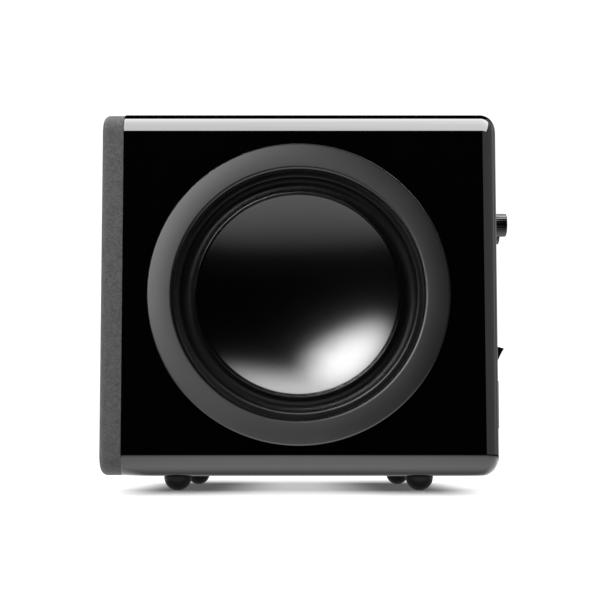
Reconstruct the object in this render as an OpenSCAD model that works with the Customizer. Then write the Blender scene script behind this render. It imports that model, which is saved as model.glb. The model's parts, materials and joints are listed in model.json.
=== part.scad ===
// Compact powered subwoofer: a lacquered six-board box with a cloth grille and an active driver
// at the front, a passive radiator in each side and a plate amplifier at the rear.
// The front faces -X, the sides face -Y (right) and +Y (left), and +Z is up.
// The origin is on the floor, in the middle of the whole object's length and width.

/* [Cabinet] */
// Width across the side boards
cab_w = 200; // [185:1:240]
// Height without the feet
cab_h = 202; // [190:1:244]
// Length from the front edge to the rear face
cab_d = 207; // [190:1:260]
// Thickness of every board
wall = 15; // [13:0.5:20]
// Rounding of the four long edges
edge_r = 12; // [4:0.5:12]
// Rounding of the rear edges
rear_edge_r = 8.5; // [3:0.5:12]
// Thickness of the damping felt
felt_t = 9; // [4:1:12]

/* [Feet] */
// Height of a foot
foot_h = 8; // [6:0.5:14]
// Radius of a foot's dome
foot_r = 7.7; // [7.6:0.1:12]
// Distance between the front and rear feet
foot_span = 135; // [100:1:150]
// Distance of a foot's centre from the side of the cabinet
foot_inset = 22; // [16:1:40]

/* [Grille] */
// Thickness of the grille with its cloth
grille_t = 12; // [10:0.5:18]
// Thickness of the cloth
cloth_t = 0.8; // [0.5:0.1:1.2]
// Setback of the grille from the outline of the cabinet
grille_setback = 0.4; // [0:0.1:2]
// Rounding of the grille's front edges
grille_front_r = 4; // [2:0.5:6]
// Radius of the sound opening
grille_hole_r = 74; // [62:0.5:76]
// Radius of a grille peg
peg_r = 3; // [2:0.5:4]
// Length of a peg outside the board
peg_l = 9; // [6:1:10]
// Distance of a peg from the outline of the grille
peg_inset = 15; // [14:0.5:18]

/* [Cones and surrounds] */
// Radius of the cone's edge
cone_r = 56.7; // [45:0.1:58]
// Depth of the cone's hollow
dish_depth = 22; // [14:0.5:24]
// Thickness of the cone
cone_t = 1.2; // [0.8:0.1:2]
// Height of the cone's edge above the board's face
cone_edge_h = 0.4; // [0:0.1:1]
// Radius of the surround's half roll
roll_r = 4.1; // [3.4:0.1:5]
// Thickness of the rubber
rubber_t = 0.8; // [0.5:0.1:1]
// Width of the surround's outer lip
lip_w = 2.1; // [1.5:0.1:2.5]
// Width of the surround's inner lip
glue_w = 3.1; // [2:0.1:4]
// Radius of a radiator's tuning mass
mass_r = 18; // [12:1:24]
// Depth of a tuning mass under the side's face
mass_depth = 33; // [30:1:38]

/* [Driver frames] */
// Width of a frame's flange
flange_w = 14; // [12:0.5:15]
// Thickness of a frame's flange
flange_t = 4; // [3.5:0.5:6]
// Width of the ledge that carries a flange
seat_w = 8; // [7:0.5:8.5]
// Thickness of a frame's gasket
gasket_t = 1; // [0.5:0.1:1.5]
// Number of screws in a frame
frame_screw_n = 8; // [4:4:12]
// Distance of the side radiators from the cabinet's front edge
radiator_x = 97; // [96:1:120]
// Distance of the radiators' axis under the cabinet's middle
radiator_drop = 1.5; // [0:0.5:4]

/* [Trim ring] */
// Gap between the surround's lip and the trim ring
trim_gap = 0.9; // [0.3:0.1:1]
// Width by which the trim ring covers the board round the frame
trim_cover = 3; // [2:0.5:4]
// Height of the trim ring above the side
trim_t = 4; // [2.5:0.5:8]
// Rounding of the trim ring's edges
trim_edge = 1; // [0.5:0.1:1.2]

/* [Motor] */
// Outer radius of the voice coil's former
former_r = 19.3; // [15:0.1:24]
// Wall of the former
former_t = 0.3; // [0.2:0.05:0.5]
// Thickness of the winding
coil_t = 0.8; // [0.5:0.1:1]
// Length of the winding
coil_l = 18; // [14:1:20]
// Radial gap on each side of the winding
motor_gap = 0.5; // [0.4:0.05:0.8]
// Depth of the top plate's front face under the baffle's face
motor_depth = 52; // [48:1:58]
// Thickness of the top plate
top_plate_t = 6; // [5:0.5:8]
// Thickness of the magnet
magnet_t = 20; // [14:1:22]
// Outer radius of the magnet
magnet_r = 46; // [40:1:48]
// Thickness of the yoke's back plate
yoke_t = 6; // [5:0.5:8]

/* [Amplifier plate] */
// Side of the square plate
plate_w = 164; // [158:1:168]
// Thickness of the plate
plate_t = 2.5; // [2:0.5:4]
// Radius of the plate's corners
plate_corner_r = 5; // [2:1:8]
// Margin between the plate's edge and its cut-out
plate_margin = 9; // [8:1:10]
// Distance of the plate's screws from its edge
plate_screw_inset = 4.5; // [4:0.5:5]
// Thickness of the circuit boards
board_t = 1.6; // [1:0.2:2]

/* [Controls] */
// Radius of a knob
knob_r = 7.1; // [5:0.1:9]
// Height of a knob's top above the rear face
knob_out = 13; // [11:0.5:18]
// Height of the knobs' axes above the plate's middle
knob_up = 46.5; // [44:0.5:50]
// Radius of a control shaft
shaft_r = 3; // [2.5:0.1:3.2]
// Width of a slide switch's lever
lever_w = 3; // [2:0.5:4]
// Travel of a slide switch's lever
lever_travel = 3; // [2:0.5:4]
// Height of a lever above the rear face
lever_out = 3; // [2:0.5:5]
// Height of the slide switches above the plate's middle
slide_up = 19; // [16:0.5:24]

/* [Sockets] */
// Radius of a phono socket's shell
phono_r = 4.15; // [4:0.05:4.3]
// Length of a phono socket's shell outside the plate
phono_l = 9.5; // [9:0.5:11]
// Radius of a phono socket's contact hole
phono_hole_r = 1.6; // [1.5:0.05:1.7]
// Depth of a phono socket's contact hole
phono_hole_l = 8; // [6:0.5:8.5]
// Distance between phono sockets
phono_pitch = 20; // [16:1:22]
// Depth of the phono sockets under the plate's middle
phono_down = 9; // [4:1:12]
// Depth of the mains inlet under the plate's middle
inlet_down = 61; // [58:0.5:62]
// Depth of the power rocker under the plate's middle
rocker_down = 35.5; // [30:0.5:35.5]
// Tilt of the rocker at rest
rocker_tilt = 16; // [8:1:16]

/* [Clearances] */
// Radial gap of pins, pegs and shafts in their holes
fit_gap = 0.05; // [0.02:0.01:0.1]
// Gap round the cone's edge
edge_gap = 0.1; // [0.05:0.05:0.2]
// Gap round flanges, plates and inlets in their recesses
recess_gap = 0.3; // [0.2:0.05:0.6]

/* [Hidden] */
$fn = 96;
eps = 0.01;
SIDES = ["right", "left"];
CORNERS = ["front_right", "front_left", "rear_right", "rear_left"];
RADIATOR_PIECES = ["trim_ring", "radiator_frame", "radiator_surround", "radiator_cone", "tuning_mass"];

// Overall places
front_x = grille_t - (grille_t + cab_d + knob_out) / 2;
rear_x = front_x + cab_d;
base_z = foot_h;
mid_z = base_z + cab_h / 2;
axis_z = mid_z - radiator_drop;
rad_x = front_x + radiator_x;
inner_w = cab_w - 2 * wall;
inner_h = cab_h - 2 * wall;
inner_d = cab_d - 2 * wall;

// Grille
grille_w = cab_w - 2 * grille_setback;
grille_h = cab_h - 2 * grille_setback;
grille_corner_r = edge_r - grille_setback;
peg_y = grille_w / 2 - peg_inset;
peg_z = grille_h / 2 - peg_inset;
peg_root = 6;
socket_r = peg_r + 2;
socket_depth = peg_l + 1.5;

// Cones, surrounds and frames, from the cone outwards; heights are measured from the board's face
roll_mid_r = cone_r + edge_gap + rubber_t / 2 + roll_r;
roll_out_r = roll_mid_r + roll_r + rubber_t / 2;
lip_out_r = roll_out_r + lip_w;
lip_h = rubber_t + 0.2;
dish_r = (cone_r * cone_r + dish_depth * dish_depth) / (2 * dish_depth);
dish_c = cone_edge_h + dish_r - dish_depth;
dish_back = cone_edge_h - dish_depth - cone_t;
flange_in_r = roll_out_r + 0.2;
frame_r = flange_in_r + flange_w;
cutout_r = frame_r - seat_w;
rebate_t = flange_t + gasket_t;
rebate_r = frame_r + recess_gap;
skirt_r = cutout_r - 1;
skirt_t = 2;
skirt_l = wall - 2;
trim_in_r = lip_out_r + trim_gap;
trim_r = frame_r + trim_cover;
clip_r = 1.4;
clip_l = 3;
clip_n = 4;
screw_pcr = frame_r - seat_w / 2;
screw_r = 1.9;
screw_head_r = 3.4;
screw_head_t = 2;
screw_sink = 2.2;
screw_l = 13;
screw_turn = 180 / frame_screw_n;
screw_gap = 0.2;

// Recess in the back of the grille, over the front driver's flange
recess_r = frame_r + 4;
recess_t = 3;

// Motor
former_l = motor_depth + 14;
pole_r = former_r - former_t - motor_gap;
gap_r = former_r + coil_t + motor_gap;
top_plate_r = magnet_r - 4;
magnet_in_r = gap_r + 4;
magnet_h = motor_depth + top_plate_t;
yoke_h = magnet_h + magnet_t;
spider_h = motor_depth - 15;
spider_out_r = magnet_r;
spider_ledge = 4;

// Amplifier; places on the plate are given from its middle
plate_cut = plate_w - 2 * plate_margin;
plate_in_x = rear_x - plate_t;
plate_screw_r = 1.5;
plate_screw_l = 13;
board_half = plate_cut / 2 - 5;
control_x = plate_in_x - 14;
control_z = [mid_z - 13, mid_z + board_half - 4];
power_x = plate_in_x - 30;
power_z = [mid_z - board_half - 2, mid_z - 16];
power_mid = (power_z[0] + power_z[1]) / 2;
standoff_r = 2.5;
standoff_inset = 4;
standoff_y = -14;
core_size = [26, 32, 36];
core_y = -24;
bobbin_slot = [4, 3];
bobbin_slot_z = 12;
can_r = 9;
can_l = 28;
can_y = [16, 38];
spreader_y = 4;
spreader_w = 44;
spreader_h = 34;
fin_n = 5;
fin_pitch = 8;
fin_slot = 4;

// Lead from the driver to the power board: straight out of both ends, with a slack loop between
lead_r = 2;
lead_from = [front_x + motor_depth + 9, 0, mid_z - magnet_r - 3.5];
lead_to = [power_x - board_t, 0, mid_z - 48];
lead_route = concat([lead_from], [lead_from + [4, 0, 0]],
    [for (u = [0.06 : 0.08 : 0.94]) lead_from + [4, 0, 0] + u * (lead_to - lead_from - [10, 0, 0])
        + [0, 6 * sin(180 * u), -18 * sin(180 * u)]],
    [lead_to - [6, 0, 0]], [lead_to]);

// Controls
volume_y = -45;
crossover_y = -17;
knob_z = mid_z + knob_up;
knob_gap = 0.5;
pot_r = 8;
pot_t = 9;
bushing_r = shaft_r + 0.6;
bushing_out = 1;
shaft_root = 6;
shaft_out = knob_out - 2;
slide_y = [12, 40];
slide_z = mid_z + slide_up;
slide_body = [7, 16, 8];
slide_slot = lever_w + lever_travel + 1;

// Sockets and mains
phono_y = [8, 8 + phono_pitch, 8 + 2 * phono_pitch];
phono_z = mid_z - phono_down;
phono_shell_t = 0.7;
phono_root_r = phono_r - 0.25;
phono_top = phono_l - 0.5;
inlet_y = -48;
inlet_z = mid_z - inlet_down;
inlet_flange = [3.5, 48, 27];
inlet_body = [18, 27, 20];
inlet_cavity = [17, 24, 16.6];
inlet_screw_y = 20;
inlet_screw_r = 1.6;
flush_head_r = 2.8;
flush_head_t = 1.4;
pin_pitch = 14;
pin_offset = 2;
pin_size = [2, 4];
rocker_y = -63;
rocker_z = mid_z - rocker_down;
rocker_flange = [2, 15, 23];
rocker_body = [15, 13, 20.8];
rocker_open = [9, 10, 19.6];
rocker_half = [8.6, 4.8];
rocker_face = [3.8, 5.4];
rocker_root = 3;
rocker_pin_r = 0.9;

// ---------------------------------------------------------------- helpers

// Places children modelled with +Z outward on a side board: s is -1 for right, 1 for left
module on_side(s) translate([rad_x, s * cab_w / 2, axis_z]) rotate([-90 * s, 0, 0]) children();

// Places children modelled with +Z outward on the front baffle
module on_baffle() translate([front_x, 0, mid_z]) rotate([0, -90, 0]) children();

// Places children modelled with +Z outward on the rear face
module on_rear(y, z) translate([rear_x, y, z]) rotate([0, 90, 0]) children();

// A block with its outer face at x, centred on y and z
module block(x, y, z, size)
    translate([x - size.x, y - size.y / 2, z - size.z / 2]) cube(size);

module ring(out_r, in_r, h0, h1)
    translate([0, 0, h0]) difference() {
        cylinder(r = out_r, h = h1 - h0);
        translate([0, 0, -1]) cylinder(r = in_r, h = h1 - h0 + 2);
    }

module around(n, start = 0) for (i = [0 : n - 1]) rotate([0, 0, start + i * 360 / n]) children();

function s_of(side) = side == "right" ? -1 : 1;

// A rectangle with round corners in the YZ plane, from x0 to x1
module rounded_slab(x0, x1, w, h, r, z)
    translate([x0, 0, z]) rotate([90, 0, 90]) linear_extrude(x1 - x0) {
        square([w - 2 * r, h], center = true);
        square([w, h - 2 * r], center = true);
        for (y = [-1, 1], v = [-1, 1]) translate([y * (w / 2 - r), v * (h / 2 - r)]) circle(r);
    }

// ---------------------------------------------------------------- cabinet

// What a rounded edge along Z takes away from the corner at x = 0, y = 0
module edge_cut(r, l)
    difference() {
        translate([-1, -1, -l / 2]) cube([r + 1, r + 1, l]);
        translate([r, r, -l / 2 - 1]) cylinder(r = r, h = l + 2);
    }

// The closed outer form of the cabinet
module cabinet_form()
    difference() {
        translate([front_x, -cab_w / 2, base_z]) cube([cab_d, cab_w, cab_h]);
        for (y = [0, 1], z = [0, 1])
            translate([front_x + cab_d / 2, 0, mid_z]) mirror([0, y, 0]) mirror([0, 0, z])
                translate([0, -cab_w / 2, -cab_h / 2]) rotate([90, 0, 90]) edge_cut(edge_r, cab_d + 10);
        for (y = [0, 1])
            mirror([0, y, 0]) translate([rear_x, -cab_w / 2, mid_z]) mirror([1, 0, 0])
                edge_cut(rear_edge_r, cab_h + 10);
        for (z = [0, 1])
            translate([rear_x, 0, mid_z]) mirror([0, 0, z]) translate([0, 0, -cab_h / 2])
                rotate([90, 0, 0]) mirror([1, 0, 0]) edge_cut(rear_edge_r, cab_w + 10);
    }

// Recess, hole and pilot holes for a driver frame, cut from a board's face
module frame_cut() {
    translate([0, 0, -rebate_t]) cylinder(r = rebate_r, h = rebate_t + 1);
    translate([0, 0, -wall - 1]) cylinder(r = cutout_r, h = wall + 2);
    around(frame_screw_n, screw_turn) translate([screw_pcr, 0, -screw_l - 1])
        cylinder(r = screw_r + fit_gap, h = screw_l, $fn = 24);
}

// The part of the cabinet's form in a box from low to high corner, clear of the side openings
module board(low, high)
    difference() {
        intersection() {
            cabinet_form();
            translate(low) cube(high - low);
        }
        for (s = [-1, 1]) on_side(s) frame_cut();
    }

module top_panel() color("#101012")
    board([front_x + wall, -cab_w, base_z + cab_h - wall], [rear_x - wall, cab_w, base_z + cab_h + 1]);

module bottom_panel() color("#101012")
    board([front_x + wall, -cab_w, base_z - 1], [rear_x - wall, cab_w, base_z + wall]);

module side_panel(side) color("#0b0b0d")
    difference() {
        translate([front_x + wall, s_of(side) * (cab_w - wall) / 2 - wall / 2, base_z + wall])
            cube([inner_d, wall, inner_h]);
        on_side(s_of(side)) frame_cut();
    }

module front_baffle() color("#151517")
    difference() {
        board([front_x - 1, -cab_w, 0], [front_x + wall, cab_w, base_z + cab_h + 1]);
        on_baffle() frame_cut();
        for (y = [-1, 1], z = [-1, 1])
            translate([front_x - 1, y * peg_y, mid_z + z * peg_z]) rotate([0, 90, 0])
                cylinder(r = socket_r + fit_gap, h = socket_depth + 1 + fit_gap);
    }

module rear_panel() color("#101012")
    difference() {
        board([rear_x - wall, -cab_w, 0], [rear_x + 1, cab_w, base_z + cab_h + 1]);
        rounded_slab(plate_in_x, rear_x + 1, plate_w + 2 * recess_gap, plate_w + 2 * recess_gap,
                     plate_corner_r + recess_gap, mid_z);
        rounded_slab(rear_x - wall - 1, rear_x + 1, plate_cut, plate_cut, plate_corner_r, mid_z);
        plate_screw_places() translate([0, 0, -plate_screw_l - 1])
            cylinder(r = plate_screw_r + fit_gap, h = plate_screw_l, $fn = 24);
    }

module damping_felt() color("#55555a")
    for (z = [base_z + wall, base_z + cab_h - wall - felt_t])
        translate([front_x + wall + 4, -inner_w / 2 + 8, z]) cube([inner_d - 30, inner_w - 16, felt_t]);

module foot(corner) {
    x = rad_x + (corner == "front_right" || corner == "front_left" ? -1 : 1) * foot_span / 2;
    y = (corner == "front_right" || corner == "rear_right" ? -1 : 1) * (cab_w / 2 - foot_inset);
    dome_z = foot_r - 0.25;
    color("#0a0a0a") translate([x, y, 0])
        intersection() {
            union() {
                translate([0, 0, dome_z]) sphere(r = foot_r);
                translate([0, 0, dome_z]) cylinder(r = foot_r, h = max(foot_h - dome_z, eps));
            }
            cylinder(r = foot_r + 1, h = foot_h);
        }
}

// ---------------------------------------------------------------- grille

module peg_places()
    for (y = [-1, 1], z = [-1, 1])
        translate([front_x, y * peg_y, mid_z + z * peg_z]) rotate([0, -90, 0]) children();

// The outside of the grille, grown or shrunk by its cloth, with eased front edges
module grille_form(inset) {
    w = grille_w - 2 * inset;
    h = grille_h - 2 * inset;
    r = grille_corner_r - inset;
    x1 = front_x - grille_t + inset;
    ease = grille_front_r - inset;
    steps = 6;
    difference() {
        rounded_slab(x1, front_x, w, h, r, mid_z);
        for (i = [0 : steps - 1]) {
            a = 90 * (i + 0.5) / steps;
            depth = ease * (1 - sin(a));
            cut = ease * (1 - cos(a));
            difference() {
                translate([x1 - 1, -w, mid_z - h]) cube([depth + 1, 2 * w, 2 * h]);
                rounded_slab(x1 - 2, x1 + depth + 1, w - 2 * cut, h - 2 * cut, r - cut, mid_z);
            }
        }
    }
}

module grille_board() color("#1c1c1e")
    difference() {
        grille_form(cloth_t);
        translate([front_x + 1, 0, mid_z]) rotate([0, -90, 0]) cylinder(r = grille_hole_r, h = grille_t + 2);
        translate([front_x + 1, 0, mid_z]) rotate([0, -90, 0]) cylinder(r = recess_r, h = recess_t + 1);
        peg_places() translate([0, 0, -1]) cylinder(r = peg_r + fit_gap, h = peg_root + 1 + fit_gap);
    }

module grille_cloth() color("#5a5a5d")
    difference() {
        grille_form(0);
        grille_form(cloth_t);
    }

module grille_pegs() color("#18181a")
    peg_places() translate([0, 0, -peg_l]) cylinder(r = peg_r, h = peg_l + peg_root);

module grille_sockets() color("#222224")
    peg_places() translate([0, 0, -socket_depth])
        difference() {
            cylinder(r = socket_r, h = socket_depth);
            translate([0, 0, 1]) cylinder(r = peg_r + fit_gap, h = socket_depth);
        }

// ---------------------------------------------------------------- cones and surrounds

// Half of a spherical shell's section round the dish's centre, outside radius r
module shell_profile(r, t)
    translate([0, dish_c]) difference() {
        circle(r + t, $fn = 180);
        circle(r, $fn = 180);
    }

// Inverted half roll with a flat outer lip and an inner lip that follows the cone's back
module surround_profile() {
    translate([roll_mid_r, 0]) intersection() {
        difference() {
            circle(roll_r + rubber_t / 2);
            circle(roll_r - rubber_t / 2);
        }
        translate([-2 * roll_r, -2 * roll_r]) square([4 * roll_r, 2 * roll_r + rubber_t / 2]);
    }
    translate([roll_out_r - rubber_t, 0]) square([lip_w + rubber_t, lip_h]);
    intersection() {
        shell_profile(dish_r + cone_t, rubber_t);
        translate([cone_r - glue_w, dish_back]) square([glue_w + edge_gap + rubber_t / 2, -dish_back]);
    }
}

module surround() rotate_extrude() surround_profile();

// One-piece concave dish
module dish()
    rotate_extrude() intersection() {
        shell_profile(dish_r, cone_t);
        translate([0, dish_back - 1]) square([cone_r, cone_edge_h - dish_back + 1]);
    }

// What lies in front of the dish's back, to shape the pieces that are glued on there
module before_dish_back() translate([0, 0, dish_c]) sphere(r = dish_r + cone_t, $fn = 180);

module frame_holes() {
    around(frame_screw_n, screw_turn) translate([screw_pcr, 0, 0]) {
        translate([0, 0, -flange_t - 1]) cylinder(r = screw_r + screw_gap, h = flange_t + 2, $fn = 24);
        translate([0, 0, -screw_sink]) cylinder(r = screw_head_r + screw_gap, h = screw_sink + 1, $fn = 24);
    }
    around(clip_n) translate([screw_pcr, 0, -flange_t - 1])
        cylinder(r = clip_r + fit_gap, h = flange_t + 2, $fn = 24);
}

// Countersunk screw with a cross recess, its head under the flange's face
module frame_screw() {
    translate([0, 0, -screw_sink]) difference() {
        cylinder(r = screw_head_r, h = screw_head_t, $fn = 24);
        for (a = [0, 90]) rotate([0, 0, a]) translate([-1.9, -0.35, screw_head_t - 1]) cube([3.8, 0.7, 2]);
    }
    translate([0, 0, -screw_l]) cylinder(r = screw_r, h = screw_l - screw_sink, $fn = 24);
}

module on_each_frame() {
    for (s = [-1, 1]) on_side(s) children();
    on_baffle() children();
}

module frame_screws() color("#2a2a2c")
    on_each_frame() around(frame_screw_n, screw_turn) translate([screw_pcr, 0, 0]) frame_screw();

module frame_gaskets() color("#1e1e20")
    on_each_frame() difference() {
        ring(frame_r, cutout_r + 0.5, -rebate_t, -flange_t);
        around(frame_screw_n, screw_turn) translate([screw_pcr, 0, -rebate_t - 1])
            cylinder(r = screw_r + screw_gap, h = gasket_t + 2, $fn = 24);
    }

// ---------------------------------------------------------------- passive radiators

// Ring with eased edges and four clips that press into the frame
module trim_ring(side) color("#3b3b3d")
    on_side(s_of(side)) {
        rotate_extrude() difference() {
            translate([trim_in_r, 0]) square([trim_r - trim_in_r, trim_t]);
            for (e = [0, 1]) translate([e == 0 ? trim_in_r : trim_r, trim_t]) mirror([e, 0]) mirror([0, 1])
                difference() {
                    translate([-1, -1]) square(trim_edge + 1);
                    translate([trim_edge, trim_edge]) circle(trim_edge, $fn = 48);
                }
        }
        around(clip_n) translate([screw_pcr, 0, -clip_l]) cylinder(r = clip_r, h = clip_l + eps, $fn = 24);
    }

// Flange with a stiffening skirt inside the cut-out
module radiator_frame(side) color("#202022")
    on_side(s_of(side)) difference() {
        union() {
            ring(frame_r, flange_in_r, -flange_t, 0);
            ring(skirt_r, skirt_r - skirt_t, -skirt_l, -flange_t + eps);
        }
        frame_holes();
    }

module radiator_surround(side) color("#111112") on_side(s_of(side)) surround();

module radiator_cone(side) color("#b9babd") on_side(s_of(side)) dish();

module tuning_mass(side) color("#8a8a8c")
    on_side(s_of(side)) difference() {
        translate([0, 0, -mass_depth]) cylinder(r = mass_r, h = mass_depth + dish_back + 4);
        before_dish_back();
        translate([0, 0, -mass_depth - 1]) cylinder(r = 3, h = 6);
    }

// ---------------------------------------------------------------- front driver

module front_basket() color("#26262a")
    on_baffle() difference() {
        rotate_extrude() polygon([
            [flange_in_r, 0], [frame_r, 0], [frame_r, -flange_t], [skirt_r, -flange_t],
            [skirt_r - 2, -flange_t - 10], [magnet_r + 3, 2 - motor_depth], [magnet_r + 3, -motor_depth],
            [magnet_in_r, -motor_depth], [magnet_in_r, 2 - motor_depth], [magnet_r + 1, 2 - motor_depth],
            [spider_out_r + 4, -spider_h - 1.4], [spider_out_r - spider_ledge, -spider_h - 1.4],
            [spider_out_r - spider_ledge, -spider_h], [spider_out_r + 5.5, -spider_h],
            [skirt_r - 2 - skirt_t, -flange_t - 10], [skirt_r - skirt_t, -flange_t],
            [flange_in_r, -flange_t]]);
        frame_holes();
        around(6) translate([magnet_r + 6, -15, -spider_h + 2]) cube([frame_r, 30, spider_h - flange_t - 9]);
    }

module front_surround() color("#111112") on_baffle() surround();

module front_cone() color("#b9babd") on_baffle() dish();

// Corrugated cloth ring between the former and the basket's ledge
module front_spider() {
    waves = 4;
    inner = former_r + fit_gap;
    outer = spider_out_r - 1;
    flat = spider_ledge;
    n = waves * 8;
    mid = -spider_h + 0.9;
    wave_h = 1.4;
    cloth = 0.6;
    function rise(u) = mid + wave_h * sin(360 * waves * u) * min(1, 6 * u, 6 * (1 - u));
    function at(u) = [inner + (outer - flat - inner) * u, rise(u)];
    color("#c9a53a") on_baffle() rotate_extrude() {
        polygon(concat(
            [for (i = [0 : n]) at(i / n) + [0, cloth / 2]],
            [[outer, mid + cloth / 2], [outer, -spider_h]],
            [[outer - flat, -spider_h], [outer - flat, mid - cloth / 2]],
            [for (i = [n - 1 : -1 : 0]) at(i / n) - [0, cloth / 2]]));
    }
}

module voice_coil_former() color("#c8b27a")
    on_baffle() difference() {
        translate([0, 0, -former_l]) cylinder(r = former_r, h = former_l + dish_back + 6);
        translate([0, 0, -former_l - 1]) cylinder(r = former_r - former_t, h = former_l + 20);
        before_dish_back();
    }

module voice_coil() color("#b5662f")
    on_baffle() ring(former_r + coil_t, former_r, -motor_depth - (top_plate_t + coil_l) / 2,
                     -motor_depth - (top_plate_t - coil_l) / 2);

module motor_top_plate() color("#77777a")
    on_baffle() ring(top_plate_r, gap_r, -magnet_h, -motor_depth);

module motor_magnet() color("#2c2c30")
    on_baffle() ring(magnet_r, magnet_in_r, -yoke_h, -magnet_h);

module motor_yoke() color("#77777a")
    on_baffle() difference() {
        union() {
            translate([0, 0, -yoke_h - yoke_t]) cylinder(r = top_plate_r, h = yoke_t);
            translate([0, 0, -yoke_h - eps]) cylinder(r = pole_r, h = yoke_h - motor_depth + eps);
        }
        translate([0, 0, -yoke_h - yoke_t - 1]) cylinder(r = pole_r / 3, h = yoke_h + yoke_t);
    }

module driver_terminal() color("#1d3a2a")
    on_baffle() translate([-magnet_r - 6.5, -8, -motor_depth - 9]) difference() {
        cube([6, 16, 9]);
        for (y = [4, 12]) translate([3, y, -1]) cylinder(r = 1.2, h = 5, $fn = 24);
    }

// ---------------------------------------------------------------- amplifier

module plate_screw_places() {
    edge = plate_w / 2 - plate_screw_inset;
    for (a = [-1, 1], v = [-1, 0, 1]) {
        on_rear(a * edge, mid_z + v * edge) children();
        if (v == 0) on_rear(0, mid_z + a * edge) children();
    }
}

module inlet_screw_places()
    for (a = [-1, 1]) on_rear(inlet_y + a * inlet_screw_y, inlet_z) children();

// A through hole in the plate
module plate_hole(r) translate([0, 0, -plate_t - 1]) cylinder(r = r, h = plate_t + 2);

module amp_plate() color("#232325")
    difference() {
        rounded_slab(plate_in_x, rear_x, plate_w, plate_w, plate_corner_r, mid_z);
        plate_screw_places() plate_hole(plate_screw_r + 0.3);
        inlet_screw_places() plate_hole(inlet_screw_r);
        for (y = [volume_y, crossover_y]) on_rear(y, knob_z) plate_hole(bushing_r + 0.1);
        for (y = slide_y) block(rear_x + 1, y, slide_z, [plate_t + 2, slide_slot, lever_w + 0.6]);
        for (y = phono_y) on_rear(y, phono_z) plate_hole(phono_root_r + 0.1);
        block(rear_x + 1, inlet_y, inlet_z,
              [plate_t + 2, inlet_body.y + 2 * recess_gap, inlet_body.z + 2 * recess_gap]);
        block(rear_x + 1, rocker_y, rocker_z,
              [plate_t + 2, rocker_body.y + 2 * recess_gap, rocker_body.z + 2 * recess_gap]);
    }

// Pan-head screw with a cross recess; its head rests at height 0
module pan_screw(l) {
    difference() {
        cylinder(r1 = 3, r2 = 2.3, h = 1.6, $fn = 32);
        for (a = [0, 90]) rotate([0, 0, a]) translate([-1.6, -0.3, 0.7]) cube([3.2, 0.6, 2]);
    }
    translate([0, 0, -l]) cylinder(r = plate_screw_r, h = l, $fn = 24);
}

// Countersunk screw with a cross recess; its head ends flush at height 0
module flush_screw(l) {
    difference() {
        translate([0, 0, -flush_head_t])
            cylinder(r1 = plate_screw_r, r2 = flush_head_r, h = flush_head_t, $fn = 32);
        for (a = [0, 90]) rotate([0, 0, a]) translate([-1.4, -0.3, -0.8]) cube([2.8, 0.6, 2]);
    }
    translate([0, 0, -l]) cylinder(r = plate_screw_r, h = l - flush_head_t + eps, $fn = 24);
}

module amp_plate_screws() color("#1a1a1a") {
    plate_screw_places() pan_screw(plate_screw_l);
    inlet_screw_places() translate([0, 0, inlet_flange.x]) flush_screw(inlet_flange.x + plate_t + 2);
}

module circuit_board(x, z) color("#1f5a34")
    translate([x - board_t, -board_half, z[0]]) cube([board_t, 2 * board_half, z[1] - z[0]]);

module standoff(x, y, z)
    translate([x, y, z]) rotate([0, 90, 0]) cylinder(r = standoff_r, h = plate_in_x - x, $fn = 12);

module board_standoffs() color("#c7a552") {
    far_y = board_half - standoff_inset;
    for (y = [-far_y, far_y], z = [control_z[0] + standoff_inset, control_z[1] - standoff_inset])
        standoff(control_x, y, z);
    for (y = [standoff_y, far_y], z = [power_z[0] + standoff_inset, power_z[1] - standoff_inset])
        standoff(power_x, y, z);
}

// Core with a slotted bobbin on the power board
module transformer() color("#d8b23c")
    difference() {
        block(power_x - board_t, core_y, power_mid, core_size);
        for (v = [-1, 1])
            block(power_x - board_t - core_size.x + bobbin_slot[0] - 1, core_y, power_mid + v * bobbin_slot_z,
                  [bobbin_slot[0], core_size.y + 2, bobbin_slot[1]]);
    }

module capacitors() color("#23324f")
    for (y = can_y) translate([power_x - board_t, y, power_mid]) rotate([0, -90, 0])
        difference() {
            cylinder(r = can_r, h = can_l);
            for (a = [0, 90]) rotate([0, 0, a]) translate([-6, -0.4, can_l - 0.6]) cube([12, 0.8, 2]);
        }

// Finned block between the power board and the plate
module heat_spreader() color("#a5a7aa")
    translate([power_x, spreader_y, power_z[0] + 14]) difference() {
        cube([plate_in_x - power_x, spreader_w, spreader_h]);
        for (i = [0 : fin_n - 1])
            translate([-1, 5 + fin_pitch * i, 6]) cube([plate_in_x - power_x - 5, fin_slot, spreader_h + 6]);
    }

// Two-core lead from the driver's terminal to the power board
function unit(v) = v / norm(v);
function heading(p, i) = unit(p[min(i + 1, len(p) - 1)] - p[max(i - 1, 0)]);
function loop_at(c, t, r, n) =
    let (u = unit(cross([0, 1, 0], t)), v = cross(t, u))
    [for (k = [0 : n - 1]) c + r * (cos(360 * k / n) * u + sin(360 * k / n) * v)];

module tube(route, r, n = 8) {
    last = len(route) - 1;
    polyhedron(
        points = [for (i = [0 : last]) each loop_at(route[i], heading(route, i), r, n)],
        faces = concat(
            [[for (k = [0 : n - 1]) k]],
            [[for (k = [n - 1 : -1 : 0]) last * n + k]],
            [for (i = [0 : last - 1], k = [0 : n - 1])
                let (a = i * n + k, b = i * n + (k + 1) % n) [a, a + n, b + n, b]]));
}

module speaker_lead() color("#7a1f1f") tube(lead_route, lead_r);

// ---------------------------------------------------------------- controls

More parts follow.
